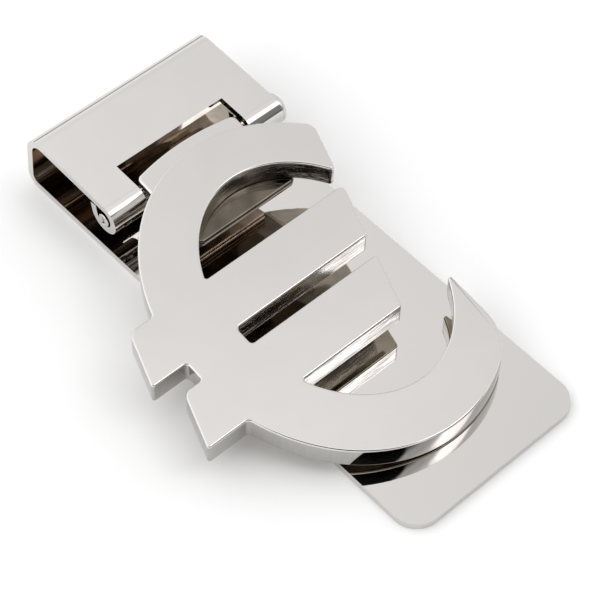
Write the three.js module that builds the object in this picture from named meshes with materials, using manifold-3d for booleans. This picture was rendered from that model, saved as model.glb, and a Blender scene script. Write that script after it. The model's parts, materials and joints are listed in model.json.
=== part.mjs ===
// Money clip: a spring strip folded at the back, with a hinged lever that carries a currency-sign emblem.
// Millimetres, +Z up. The origin is the centre of the base plate's underside; +X runs from the folded end
// to the free end, so +Y is the right-hand side of the emblem's sign when it is read from above.
import * as THREE from 'three';
import { mergeVertices } from 'three/addons/utils/BufferGeometryUtils.js';
import Module from 'manifold-3d';

const wasm = await Module();
wasm.setup();

// ---- Driving dimensions -------------------------------------------------------------------------

// Spring body: one strip of sheet, base plate + back bend + upper flange + two rolled knuckles
const bodyLength = 61.8;
const bodyWidth = 24;
const sheet = 0.88;
const freeCornerRadius = 3;
const bodyHeight = 8.25;             // top of the flange over the back bend
const lowerBendRadius = 1.7;         // outer radii of the two bends
const upperBendRadius = 2.6;
const bendLean = 0.35;               // how far the upper bend stands ahead of the lower one
const knuckleSetback = 13.65;        // knuckle centre, from the folded end
const flangeFall = 0.49;             // top of the knuckles, below the top over the bend
const knucklePlay = 0.3;             // radial play of the pin in the rolled knuckles
const curlEnd = THREE.MathUtils.degToRad(-170);
const curlTailGap = 0.25;            // between the curl's cut end and the flange
const notchSetback = 10.4;           // notch's back edge, from the folded end
const notchWidth = 14.9;

// Hinge pin: domed head on the +Y side, slotted flush end on the -Y side
const pinRadius = 0.8;
const pinSeatGap = 0.03;             // pin to the bottom of the knuckle's bore
const pinHeadRadius = 1.85;
const pinHeadHeight = 1.25;
const pinHeadGap = 0.05;
const pinEndStandOut = 0.15;
const slotWidth = 0.4;
const slotDepth = 0.3;

// Hinge strap: thin strip looped round the pin, both legs soldered under the lever plate
const strapSheet = 0.45;
const strapSideGap = 1.25;           // to each knuckle
const strapRunningGap = 0.06;
const strapReach = 5.3;              // cut ends of the legs, ahead of the pin
const strapLegGap = 0.05;            // between the two legs
const strapRiseAngle = THREE.MathUtils.degToRad(45);

// Lever plate
const plateThickness = 0.85;
const plateSideGap = 0.55;           // to each knuckle
const plateReach = 9.55;             // front edge, ahead of the pin
const plateBackReach = 1.77;         // back edge at mid-width, behind the pin
const plateBackRadius = 30;
const plateCornerRadius = 0.8;
const solderGap = 0.05;              // solder film under and over the lever plate

// Emblem: a thick plate with the outline of a C crossed by two bars, seen from above
const emblemThickness = 2.67;
const emblemLead = 1.55;             // back of the emblem, ahead of the pin
const emblemShiftY = -0.69;
const emblemRestGap = 0.12;          // under the emblem's front tip when the lever is closed
const outer = { halfWidth: 17.9, halfLength: 20.55, shift: 0, rise: 0 };
const inner = { halfWidth: 11.85, halfLength: 14.8, shift: 0.7, rise: 0.2 };
const barWidth = 6.2;
const barGap = 2.3;
const barSlotEnd = -10.8;            // closed end of the gap between the bars
const tickNotchEnd = -17.45;         // closed end of the gap between the bars' outer ends
const tickReach = 20.9;              // outer ends of the bars, at mid-bar
const cutSlope = 0.352;              // sideways run of every slanted cut per unit of length
const cutOffset = 7.1;               // where the slanted cut crosses the emblem's middle
const lowerTerminal = 11.1;          // straight cut of the C's lower end
const terminalRound = 3;             // corner lengths taken off by the roundings
const cornerRound = 0.8;
const tipRound = 1.6;

// ---- Values that follow -------------------------------------------------------------------------

const rearX = -bodyLength / 2;
const freeX = bodyLength / 2;
const knuckleBore = pinRadius + knucklePlay;
const knuckleRadius = knuckleBore + sheet;
const knuckleHeight = bodyHeight - flangeFall - knuckleRadius;
const pinX = rearX + knuckleSetback;
const pinZ = knuckleHeight - knucklePlay + pinSeatGap;
const strapWidth = notchWidth - 2 * strapSideGap;
const strapBore = pinRadius + strapRunningGap;
const plateWidth = notchWidth - 2 * plateSideGap;
const plateUnder = strapBore + strapSheet + solderGap;     // heights over the pin's axis
const plateTop = plateUnder + plateThickness;
const emblemUnder = plateTop + solderGap;
const emblemX = pinX + emblemLead + outer.halfLength;
const emblemFrontX = emblemX + outer.halfLength;

// Slope of the closed lever, which brings the emblem's front tip down to the base plate
const tipReach = emblemFrontX - pinX;
const tipDrop = pinZ - sheet - emblemRestGap;
const leverSlope = Math.acos(-emblemUnder / Math.hypot(tipReach, tipDrop)) - Math.atan2(tipReach, tipDrop);

const arcSteps = 20;                 // segments of a round stretch
const ellipseSteps = 40;
const domeSteps = 8;
const bend = {
  low: { x: rearX + lowerBendRadius, z: lowerBendRadius, radius: lowerBendRadius },
  high: { x: rearX + bendLean + upperBendRadius, z: bodyHeight - upperBendRadius, radius: upperBendRadius },
  knuckle: { x: pinX, z: knuckleHeight, radius: knuckleRadius },
};

// ---- Materials ----------------------------------------------------------------------------------

function plated(name, colour, roughness) {
  return new THREE.MeshStandardMaterial({ name, color: colour, roughness, metalness: 1 });
}

// ---- Solids -------------------------------------------------------------------------------------

function toSolid(geometry) {
  geometry.deleteAttribute('normal');
  geometry.deleteAttribute('uv');
  const merged = mergeVertices(geometry);
  const vertProperties = new Float32Array(merged.attributes.position.array);
  const triVerts = new Uint32Array(merged.index.array);
  return new wasm.Manifold(new wasm.Mesh({ numProp: 3, vertProperties, triVerts }));
}

function toGeometry(solid) {
  const mesh = solid.getMesh();
  const geometry = new THREE.BufferGeometry();
  geometry.setAttribute('position', new THREE.BufferAttribute(mesh.vertProperties, 3));
  geometry.setIndex(new THREE.BufferAttribute(mesh.triVerts, 1));
  geometry.computeVertexNormals();
  return geometry;
}

// A side outline drawn in X and Z, given its width along Y and centred on the middle plane.
function acrossWidth(shape, width) {
  const geometry = new THREE.ExtrudeGeometry(shape, {
    depth: width,
    bevelEnabled: false,
    curveSegments: arcSteps,
  });
  geometry.rotateX(Math.PI / 2);
  geometry.translate(0, width / 2, 0);
  return geometry;
}

function upward(shape, height, segments = arcSteps) {
  return new THREE.ExtrudeGeometry(shape, { depth: height, bevelEnabled: false, curveSegments: segments });
}

// ---- Spring body --------------------------------------------------------------------------------

// Direction of the common normal where the sheet runs straight from one bend's outside to the next.
function runNormal(from, to) {
  const distance = Math.hypot(to.x - from.x, to.z - from.z);
  const heading = Math.atan2(to.z - from.z, to.x - from.x);
  return heading + Math.acos((from.radius - to.radius) / distance);
}

function pointOn(circle, radius, angle) {
  return { x: circle.x + radius * Math.cos(angle), z: circle.z + radius * Math.sin(angle) };
}

// Length of the straight tail that closes the curl, up to just below the flange.
function tailLength(flangeNormal) {
  const { knuckle } = bend;
  const start = pointOn(knuckle, knuckle.radius, curlEnd);
  const rise = -Math.cos(curlEnd);
  const flangeUnder = knuckle.z + knuckle.radius * Math.sin(flangeNormal) - sheet;
  return (flangeUnder - curlTailGap - start.z) / rise;
}

function bodySideOutline() {
  const { low, high, knuckle } = bend;
  const down = -Math.PI / 2;
  const wallNormal = runNormal(low, high);
  const flangeNormal = runNormal(high, knuckle);
  const tail = tailLength(flangeNormal);
  const tailX = tail * Math.sin(curlEnd);
  const tailZ = -tail * Math.cos(curlEnd);
  const outerEnd = pointOn(knuckle, knuckle.radius, curlEnd);
  const innerEnd = pointOn(knuckle, knuckle.radius - sheet, curlEnd);

  const shape = new THREE.Shape();
  shape.moveTo(freeX, 0);
  shape.lineTo(low.x, 0);
  shape.absarc(low.x, low.z, low.radius, down, wallNormal, true);
  shape.absarc(high.x, high.z, high.radius, wallNormal, flangeNormal, true);
  shape.absarc(knuckle.x, knuckle.z, knuckle.radius, flangeNormal, curlEnd, true);
  shape.lineTo(outerEnd.x + tailX, outerEnd.z + tailZ);
  shape.lineTo(innerEnd.x + tailX, innerEnd.z + tailZ);
  shape.absarc(knuckle.x, knuckle.z, knuckle.radius - sheet, curlEnd, flangeNormal, false);
  shape.absarc(high.x, high.z, high.radius - sheet, flangeNormal, wallNormal, false);
  shape.absarc(low.x, low.z, low.radius - sheet, wallNormal, down, false);
  shape.lineTo(freeX, sheet);
  shape.closePath();
  return shape;
}

// The strip's outline from above: square at the fold, rounded at the free end.
function bodyPlanOutline() {
  const half = bodyWidth / 2;
  const r = freeCornerRadius;
  const back = rearX - bodyWidth;
  const shape = new THREE.Shape();
  shape.moveTo(back, -half);
  shape.lineTo(freeX - r, -half);
  shape.absarc(freeX - r, -half + r, r, -Math.PI / 2, 0, false);
  shape.absarc(freeX - r, half - r, r, 0, Math.PI / 2, false);
  shape.lineTo(back, half);
  shape.closePath();
  return shape;
}

function springBody() {
  const clearHeight = 2 * bodyHeight;
  const strip = toSolid(acrossWidth(bodySideOutline(), 2 * bodyWidth));
  const plan = toSolid(upward(bodyPlanOutline(), clearHeight).translate(0, 0, -bodyHeight / 2));
  const notchLength = knuckleSetback - notchSetback + 2 * knuckleRadius;
  const notchBottom = 2 * sheet;
  const notchBox = new THREE.BoxGeometry(notchLength, notchWidth, clearHeight);
  notchBox.translate(rearX + notchSetback + notchLength / 2, 0, notchBottom + clearHeight / 2);
  return toGeometry(strip.intersect(plan).subtract(toSolid(notchBox)));
}

// ---- Hinge pin ----------------------------------------------------------------------------------

function hingePin() {
  const half = bodyWidth / 2;
  const end = -half - pinEndStandOut;
  const headBase = half + pinHeadGap;
  const profile = [
    new THREE.Vector2(0, end),
    new THREE.Vector2(pinRadius - pinEndStandOut, end),
    new THREE.Vector2(pinRadius, end + pinEndStandOut),
    new THREE.Vector2(pinRadius, headBase),
    new THREE.Vector2(pinHeadRadius, headBase),
  ];
  for (let i = 1; i < domeSteps; i += 1) {
    const angle = (i / domeSteps) * Math.PI / 2;
    const radius = pinHeadRadius * Math.cos(angle);
    profile.push(new THREE.Vector2(radius, headBase + pinHeadHeight * Math.sin(angle)));
  }
  profile.push(new THREE.Vector2(0, headBase + pinHeadHeight));
  const pin = toSolid(new THREE.LatheGeometry(profile, 2 * arcSteps));
  const slot = new THREE.BoxGeometry(slotWidth, 2 * slotDepth, 4 * pinRadius);
  slot.translate(0, end, 0);
  return toGeometry(pin.subtract(toSolid(slot)));
}

// ---- Lever: strap, plate and emblem, drawn level with the pin's axis at the origin ---------------

// Side outline of the strap: upper leg, loop behind and below the pin, rise, lower leg.
function hingeStrap() {
  const loop = strapBore + strapSheet;
  const up = Math.PI / 2;
  const leave = -up + strapRiseAngle;
  const legTop = strapBore - strapLegGap;
  const legUnder = legTop - strapSheet;
  const reachRise = (radius, height) => {
    const x = radius * Math.cos(leave);
    const z = radius * Math.sin(leave);
    return x + (height - z) / Math.tan(strapRiseAngle);
  };
  const shape = new THREE.Shape();
  shape.moveTo(strapReach, loop);
  shape.lineTo(0, loop);
  shape.absarc(0, 0, loop, up, leave + 2 * Math.PI, false);
  shape.lineTo(reachRise(loop, legUnder), legUnder);
  shape.lineTo(strapReach, legUnder);
  shape.lineTo(strapReach, legTop);
  shape.lineTo(reachRise(strapBore, legTop), legTop);
  shape.absarc(0, 0, strapBore, leave, up - 2 * Math.PI, true);
  shape.lineTo(strapReach, strapBore);
  shape.closePath();
  return acrossWidth(shape, strapWidth);
}

// Plan of the lever plate: shallow arc at the back, rounded corners all round.
function leverPlate() {
  const half = plateWidth / 2;
  const r = plateCornerRadius;
  const arcX = -plateBackReach + plateBackRadius;
  const swing = Math.asin((half - r) / (plateBackRadius - r));
  const cornerX = arcX - (plateBackRadius - r) * Math.cos(swing);
  const shape = new THREE.Shape();
  shape.moveTo(cornerX, -half);
  shape.lineTo(plateReach - r, -half);
  shape.absarc(plateReach - r, -half + r, r, -Math.PI / 2, 0, false);
  shape.absarc(plateReach - r, half - r, r, 0, Math.PI / 2, false);
  shape.absarc(cornerX, half - r, r, Math.PI / 2, Math.PI - swing, false);
  shape.absarc(arcX, 0, plateBackRadius, Math.PI - swing, Math.PI + swing, false);
  shape.absarc(cornerX, -half + r, r, Math.PI + swing, 1.5 * Math.PI, false);
  shape.closePath();
  return upward(shape, plateThickness).translate(0, 0, plateUnder);
}

// ---- Emblem -------------------------------------------------------------------------------------
// Its outline is drawn with x across the sign (to the right) and y up the sign (towards the hinge).

function ellipseAngle(ring, point) {
  return Math.atan2((point.y - ring.rise) / ring.halfLength, (point.x - ring.shift) / ring.halfWidth);
}

function pointOnRing(ring, angle) {
  const across = ring.shift + ring.halfWidth * Math.cos(angle);
  return new THREE.Vector2(across, ring.rise + ring.halfLength * Math.sin(angle));
}

// Left-hand crossing of a ring with a line across the sign at the given height.
function leftCrossing(ring, along) {
  const share = (along - ring.rise) / ring.halfLength;
  return new THREE.Vector2(ring.shift - ring.halfWidth * Math.sqrt(1 - share * share), along);
}

// Lower crossing of a ring with a line up the sign.
function lowerCrossing(ring, across) {
  const share = (across - ring.shift) / ring.halfWidth;
  return new THREE.Vector2(across, ring.rise - ring.halfLength * Math.sqrt(1 - share * share));
}

function cutAt(along) {
  return new THREE.Vector2(cutOffset + cutSlope * along, along);
}

// Upper crossing of a ring with the slanted cut.
function cutCrossing(ring) {
  const start = cutOffset - ring.shift + cutSlope * ring.rise;
  const a = (cutSlope / ring.halfWidth) ** 2 + (1 / ring.halfLength) ** 2;
  const b = (2 * cutSlope * start) / ring.halfWidth ** 2;
  const c = (start / ring.halfWidth) ** 2 - 1;
  return cutAt(ring.rise + (-b + Math.sqrt(b * b - 4 * a * c)) / (2 * a));
}

// Goes to a corner between two straight edges and rounds it.
function roundedCorner(shape, corner, next, round) {
  const here = shape.currentPoint;
  const back = new THREE.Vector2().subVectors(here, corner).setLength(round);
  const on = new THREE.Vector2().subVectors(next, corner).setLength(round);
  shape.lineTo(corner.x + back.x, corner.y + back.y);
  shape.quadraticCurveTo(corner.x, corner.y, corner.x + on.x, corner.y + on.y);
}

function tick(shape, top, bottom) {
  const middle = (top + bottom) / 2;
  const end = (along) => new THREE.Vector2(-tickReach + cutSlope * (along - middle), along);
  roundedCorner(shape, end(top), end(bottom), cornerRound);
  shape.lineTo(end(bottom).x, bottom);
}

// Rounds the corner of a straight edge and a ring, and gives the angle where the ring goes on.
function ontoRing(shape, corner, ring, round) {
  const angle = ellipseAngle(ring, corner) + round / ring.halfWidth;
  const on = pointOnRing(ring, angle);
  shape.quadraticCurveTo(corner.x, corner.y, on.x, on.y);
  return angle;
}

function emblemOutline() {
  const near = barGap / 2;
  const far = near + barWidth;
  const turn = 2 * Math.PI;
  const topOuter = cutCrossing(outer);
  const topInner = cutCrossing(inner);
  const lowOuter = lowerCrossing(outer, lowerTerminal);
  const lowInner = lowerCrossing(inner, lowerTerminal);
  const alongCut = new THREE.Vector2(cutSlope, 1).setLength(cornerRound);
  const shape = new THREE.Shape();
  const ringOut = (from, to) => shape.absellipse(
    outer.shift, outer.rise, outer.halfWidth, outer.halfLength, from, to, false);
  const ringIn = (from, to) => shape.absellipse(
    inner.shift, inner.rise, inner.halfWidth, inner.halfLength, from, to, true);

  // the upper end's slanted cut, then the outside of the C down to the bars
  shape.moveTo(topInner.x + alongCut.x, topInner.y + alongCut.y);
  shape.lineTo(topOuter.x - alongCut.x, topOuter.y - alongCut.y);
  ringOut(ontoRing(shape, topOuter, outer, cornerRound), ellipseAngle(outer, leftCrossing(outer, far)));

  // the two outer bar ends, then the outside of the lower half
  tick(shape, far, near);
  shape.lineTo(tickNotchEnd, near);
  shape.lineTo(tickNotchEnd, -near);
  tick(shape, -near, -far);
  const lowLeft = leftCrossing(outer, -far);
  shape.lineTo(lowLeft.x, lowLeft.y);
  const lowSwing = terminalRound / outer.halfWidth;
  ringOut(turn + ellipseAngle(outer, lowLeft), turn + ellipseAngle(outer, lowOuter) - lowSwing);

  // the lower end's straight cut, its thin tip rounded, then the inside of the lower half
  shape.quadraticCurveTo(lowOuter.x, lowOuter.y, lowOuter.x, lowOuter.y + terminalRound);
  shape.lineTo(lowInner.x, lowInner.y - tipRound);
  ringIn(ontoRing(shape, lowInner, inner, -tipRound), ellipseAngle(inner, leftCrossing(inner, -far)));

  // the bars' right-hand ends with the gap between them, then the inside of the upper half
  roundedCorner(shape, cutAt(-far), cutAt(-near), cornerRound / 2);
  roundedCorner(shape, cutAt(-near), new THREE.Vector2(barSlotEnd, -near), cornerRound / 2);
  shape.lineTo(barSlotEnd, -near);
  shape.lineTo(barSlotEnd, near);
  roundedCorner(shape, cutAt(near), cutAt(far), cornerRound / 2);
  roundedCorner(shape, cutAt(far), new THREE.Vector2(barSlotEnd, far), cornerRound);
  const topSwing = cornerRound / inner.halfWidth;
  ringIn(ellipseAngle(inner, leftCrossing(inner, far)), ellipseAngle(inner, topInner) + topSwing);
  shape.quadraticCurveTo(topInner.x, topInner.y, topInner.x + alongCut.x, topInner.y + alongCut.y);
  shape.closePath();
  return shape;
}

// The emblem's faces slope with the lever while its walls stay square to the base plate when closed.
function emblem() {
  const geometry = upward(emblemOutline(), emblemThickness, ellipseSteps);
  geometry.rotateZ(Math.PI / 2);
  geometry.translate(emblemX - pinX, emblemShiftY, 0);
  geometry.applyMatrix4(new THREE.Matrix4().makeShear(0, -Math.tan(leverSlope), 0, 0, 0, 0));
  return geometry.translate(pinX, 0, pinZ + emblemUnder / Math.cos(leverSlope));
}

// ---- Assembly -----------------------------------------------------------------------------------

const group = new THREE.Group();

function add(name, geometry, material, parent = group) {
  const mesh = new THREE.Mesh(geometry, material);
  mesh.name = name;
  parent.add(mesh);
  return mesh;
}

const atPin = new THREE.Group();
atPin.position.set(pinX, 0, pinZ);
const lever = new THREE.Group();
lever.rotation.y = leverSlope;
atPin.add(lever);
group.add(atPin);

add('spring_body', springBody(), plated('bright_plate', 0xd9d7d4, 0.08));
add('hinge_pin', hingePin(), plated('pin_plate', 0xc9c7c3, 0.18), atPin);
add('hinge_strap', hingeStrap(), plated('strap_plate', 0xb9b4ab, 0.3), lever);
add('lever_plate', leverPlate(), plated('lever_plate', 0xd6d4d1, 0.1), lever);
add('emblem', emblem(), plated('emblem_plate', 0xdcdad8, 0.06));

export default group;
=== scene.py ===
"""Money clip: the fine surfaces and plated finishes of a hinged money clip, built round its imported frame.

Metres, +Z up. The origin is the centre of the base plate's underside, and +X runs from the fold to the
free end.
"""

import json
import math

import bpy
import numpy as np
from bpy.props import FloatProperty, FloatVectorProperty, PointerProperty
from mathutils import Matrix, Vector


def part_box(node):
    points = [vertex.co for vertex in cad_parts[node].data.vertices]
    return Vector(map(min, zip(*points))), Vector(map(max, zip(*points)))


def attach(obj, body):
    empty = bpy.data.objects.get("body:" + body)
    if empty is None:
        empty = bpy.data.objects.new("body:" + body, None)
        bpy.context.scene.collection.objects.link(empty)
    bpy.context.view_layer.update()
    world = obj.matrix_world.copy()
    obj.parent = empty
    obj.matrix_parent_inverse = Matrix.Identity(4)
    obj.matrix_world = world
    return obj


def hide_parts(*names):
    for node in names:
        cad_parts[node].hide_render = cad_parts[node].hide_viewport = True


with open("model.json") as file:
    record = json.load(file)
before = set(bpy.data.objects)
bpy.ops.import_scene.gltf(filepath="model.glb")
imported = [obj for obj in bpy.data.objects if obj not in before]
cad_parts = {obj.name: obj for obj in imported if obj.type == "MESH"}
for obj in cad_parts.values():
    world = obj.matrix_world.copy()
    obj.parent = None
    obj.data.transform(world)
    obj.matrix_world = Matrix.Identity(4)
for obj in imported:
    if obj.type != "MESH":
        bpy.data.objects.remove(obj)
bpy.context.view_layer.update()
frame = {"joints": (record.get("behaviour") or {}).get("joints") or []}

bl_info = {
    "name": "Money Clip",
    "version": (1, 0, 0),
    "blender": (4, 5, 0),
    "location": "3D View > Sidebar > Money Clip",
    "description": "Fine surfaces and plated finishes of a hinged money clip",
    "category": "Add Mesh",
}

MM = 0.001
BODY_LOW, BODY_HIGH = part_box("spring_body")
PIN_LOW, PIN_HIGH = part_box("hinge_pin")
EMBLEM_LOW, EMBLEM_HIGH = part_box("emblem")
HINGE = Vector(frame["joints"][0]["pos_m"])

ARC_STEP = math.radians(2)        # turn of a round stretch from one point to the next
ROUND_STEPS = 6                   # segments of a small rounding
GUARD = 0.2 * MM                  # distance of the extra points beside every rounding
TOLERANCE = 0.01 * MM             # two places this near are taken as one
UPPER, WALL, LOWER, OUTER_WALL = range(4)  # zones of a plate's faces


# ---- Sizes and colours ---------------------------------------------------------------------------

def length(name, description, millimetres):
    """A length, given in millimetres and kept in metres"""
    return FloatProperty(
        name=name, description=description, default=millimetres * MM, unit="LENGTH", precision=5)


def colour(name, description, default):
    """A colour, red, green and blue from 0 to 1"""
    return FloatVectorProperty(
        name=name, description=description, default=default, subtype="COLOR", size=3, min=0, max=1)


def level(name, description, default, high=4.0):
    """A plain number from 0 up to the high one"""
    return FloatProperty(name=name, description=description, default=default, min=0, max=high)


def angle(name, description, degrees):
    """An angle, given in degrees and kept in radians"""
    return FloatProperty(
        name=name, description=description, default=math.radians(degrees), subtype="ANGLE")


class BodySizes(bpy.types.PropertyGroup):
    """Sizes of the folded strip and its pin"""
    sheet: length("Sheet", "Thickness of the spring strip", 0.88)
    free_corner: length("Free corners", "Radius of the two corners at the free end", 3)
    lower_bend: length("Lower bend", "Outer radius of the bend beside the base plate", 1.7)
    upper_bend: length("Upper bend", "Outer radius of the bend beside the flange", 2.6)
    bend_lean: length("Lean", "How far the upper bend stands ahead of the lower one", 0.35)
    knuckle_bore: length("Knuckle bore", "Inner radius of the rolled knuckles", 1.1)
    knuckle_rise: length("Knuckle rise", "Knuckle's centre over the pin's axis", 0.27)
    curl_tail: length("Curl tail", "Gap from the curl's cut end to the flange", 0.25)
    curl_end: angle("Curl end", "Where the curl's round stretch ends", -170)
    notch_setback: length("Notch", "Notch's back edge, from the folded end", 10.4)
    notch_width: length("Notch width", "Width of the notch between the knuckles", 14.9)
    edge: length("Edge", "Rounding of the strip's cut edges", 0.13)
    pin_radius: length("Pin radius", "Radius of the hinge pin", 0.8)
    head_height: length("Head height", "Height of the pin's domed head", 1.25)
    slot_width: length("Slot width", "Width of the slot in the pin's flush end", 0.4)
    slot_depth: length("Slot depth", "Depth of the slot in the pin's flush end", 0.3)


class LeverSizes(bpy.types.PropertyGroup):
    """Sizes of the strap and the lever plate"""
    strap_sheet: length("Strap sheet", "Thickness of the hinge strap", 0.45)
    strap_gap: length("Running gap", "Between the pin and the strap's loop", 0.06)
    strap_width: length("Strap width", "Width of the hinge strap", 12.4)
    strap_reach: length("Strap reach", "Cut ends of the strap, ahead of the pin", 5.3)
    leg_gap: length("Leg gap", "Between the strap's two legs", 0.05)
    solder: length("Solder", "Film of solder under and over the plate", 0.05)
    plate_thickness: length("Plate thickness", "Thickness of the lever plate", 0.85)
    plate_width: length("Plate width", "Width of the lever plate", 13.8)
    plate_reach: length("Plate reach", "Front edge of the plate, ahead of the pin", 9.55)
    plate_back: length("Plate back", "Back edge of the plate, behind the pin", 1.77)
    plate_back_radius: length("Back arc", "Radius of the plate's back edge", 30)
    plate_corner: length("Plate corner", "Radius of the plate's corners", 0.8)
    plate_edge: length("Plate edge", "Rounding of the plate's upper edges", 0.32)


class EmblemSizes(bpy.types.PropertyGroup):
    """Sizes of the currency-sign emblem"""
    thickness: length("Thickness", "Thickness of the emblem", 2.67)
    shift: length("Shift", "Sideways place of the emblem's centre", -0.69)
    outer_width: length("Outer half width", "Half the width of the round stroke's outside", 17.9)
    outer_length: length("Outer half length", "Half the length of the round stroke's outside", 20.55)
    inner_width: length("Inner half width", "Half the width of the round stroke's inside", 11.85)
    inner_length: length("Inner half length", "Half the length of the round stroke's inside", 14.8)
    inner_shift: length("Inner shift", "The inside's centre, across the sign", 0.7)
    inner_rise: length("Inner rise", "The inside's centre, up the sign", 0.2)
    bar_width: length("Bar width", "Width of each bar", 6.2)
    bar_gap: length("Bar gap", "Gap between the two bars", 2.3)
    slot_end: length("Slot end", "Closed end of the gap between the bars", -10.8)
    notch_end: length("Notch end", "Closed end of the gap between the bars' outer ends", -17.45)
    tick_reach: length("Tick reach", "Outer ends of the bars", 20.9)
    cut_slope: level("Cut slope", "Sideways run of the slanted cuts per unit of length", 0.352)
    cut_offset: length("Cut offset", "Where the slanted cut crosses the emblem's middle", 7.1)
    lower_terminal: length("Lower terminal", "Straight cut of the lower end", 11.1)
    terminal_round: length("Terminal round", "Corner length taken off the lower end's outside", 3)
    tip_round: length("Tip round", "Corner length taken off the lower end's thin tip", 1.1)
    corner_round: length("Corner round", "Corner length taken off the other outer corners", 0.8)
    small_round: length("Small round", "Corner length taken off inner corners", 0.4)
    edge: length("Edge", "Rounding of the emblem's upper and lower edges", 0.2)


class PlatingColours(bpy.types.PropertyGroup):
    """Colours and gloss of the plated finishes"""
    bright: colour("Bright plating", "Colour of the polished faces", (0.665, 0.645, 0.628))
    wall: colour("Wall plating", "Colour of the emblem's sawn walls", (0.66, 0.645, 0.63))
    # Painted shade: the outer walls are given a darker colour than the polished top, so the upright walls
    # read shaded
    outer: colour("Outer wall plating", "Colour of the emblem's buffed outer walls", (0.47, 0.455, 0.44))
    # Painted shade: the emblem's underside is given a darker, warmer colour than its top, as shade under the
    # emblem
    under: colour("Under plating", "Colour of the emblem's underside", (0.52, 0.47, 0.40))
    # Painted shade: the faces inside the fold and the curls are given a darker, warmer colour, as shade in
    # the recess
    inside: colour("Inside plating", "Colour inside the fold and the curls", (0.50, 0.44, 0.38))
    # Painted shade: the lever plate's front, under the emblem, is made nearly black, as the emblem's shade
    plate_shade: colour("Haze", "Colour of the lever plate's front, under the emblem", (0.17, 0.145, 0.115))
    strap: colour("Strap plating", "Colour of the strap", (0.52, 0.45, 0.39))
    sheared: colour("Sheared edge", "Colour of the strap's bare cut ends", (0.85, 0.62, 0.46))
    turned: colour("Turned plating", "Colour of the pin", (0.66, 0.64, 0.62))
    gloss: level("Roughness", "Roughness of the polished faces", 0.034, 1)


class StageSettings(bpy.types.PropertyGroup):
    """The floor, the light and the camera"""
    camera_azimuth: angle("Azimuth", "Camera's turn about the vertical, 0 looking along +Y", 46.66)
    camera_elevation: angle("Elevation", "Camera's height above the horizon", 53.31)
    camera_roll: angle("Roll", "Camera's turn about its own axis", 1.45)
    camera_distance: length("Distance", "From the camera to the point it looks at", 222.2)
    look_x: length("Look at X", "Point that the camera looks at", 1.51)
    look_y: length("Look at Y", "Point that the camera looks at", -0.67)
    focal_length: FloatProperty(
        name="Focal length", description="Millimetres on a 36 mm sensor", default=124.5, unit="CAMERA")
    floor: colour("Floor", "Colour of the floor", (0.97, 0.97, 0.97))
    light: level("Light", "Brightness of the soft light all round", 1.48)


# ---- Meshes --------------------------------------------------------------------------------------

def make_piece(name, points, faces, materials, face_materials, smooth, body, node):
    """Makes one piece's object from its points and faces, ties it to its body and hides its CAD node."""
    mesh = bpy.data.meshes.new(name)
    mesh.from_pydata(points.tolist(), [], faces)
    for material in materials:
        mesh.materials.append(material)
    mesh.polygons.foreach_set("material_index", np.asarray(face_materials, np.int32))
    mesh.polygons.foreach_set("use_smooth", np.asarray(smooth, bool))
    mesh.validate()
    mesh.update()
    piece = bpy.data.objects.new(name, mesh)
    bpy.context.scene.collection.objects.link(piece)
    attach(piece, body)
    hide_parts(node)
    return piece


def grid_faces(rows, columns, closed):
    """Four-cornered faces of a grid of points, closed round its columns where asked."""
    across = columns if closed else columns - 1
    row, column = np.meshgrid(np.arange(rows - 1), np.arange(across), indexing="ij")
    following = (column + 1) % columns
    return np.stack([
        row * columns + column, row * columns + following,
        (row + 1) * columns + following, (row + 1) * columns + column], axis=-1)


def guarded(outline):
    """The outline with two more points on each long straight side, a guard's length from its ends."""
    following = np.roll(outline, -1, axis=0)
    side = following - outline
    size = np.linalg.norm(side, axis=1)[:, None]
    long_side = size[:, 0] > 4 * GUARD
    step = side / size * GUARD
    points = np.stack([outline, outline + step, following - step], axis=1)
    keep = np.stack([np.ones_like(long_side), long_side, long_side], axis=1)
    return points[keep]


def curve_between(start, corner, stop):
    """Conic from start to stop that leaves and arrives in line with the corner: the mean of the three
    points weighted (1 - t)^2, 2 * t * (1 - t) * sin(half the corner's angle) and t^2, which is a circle's
    arc where both legs are as long."""
    before, after = start - corner, stop - corner
    cosine = before @ after / np.linalg.norm(before) / np.linalg.norm(after)
    t = np.linspace(0, 1, 2 * ROUND_STEPS + 1)[:, None]
    weights = np.concatenate([(1 - t) ** 2, 2 * t * (1 - t) * math.sqrt((1 - cosine) / 2), t ** 2], axis=1)
    return weights @ np.array([start, corner, stop]) / weights.sum(axis=1)[:, None]


def rounded_corner(before, corner, after, size):
    """Curve round a corner that starts and ends the given length from it on its two sides."""
    start = corner + (before - corner) / np.linalg.norm(before - corner) * size
    stop = corner + (after - corner) / np.linalg.norm(after - corner) * size
    return curve_between(start, corner, stop)


def rounded_corners(points, corner_sizes):
    """Curves round every point between the first and the last, each with its own size."""
    return [
        rounded_corner(before, corner, after, size)
        for before, corner, after, size in zip(points, points[1:], points[2:], corner_sizes)]


def arc(centre, radius, start, stop):
    """Points on a circle or ellipse, centre + radius * (cos, sin), from one angle to another."""
    count = max(int(abs(stop - start) / ARC_STEP), 2)
    t = np.linspace(start, stop, count + 1)
    return np.asarray(centre) + np.asarray(radius) * np.c_[np.cos(t), np.sin(t)]


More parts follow.
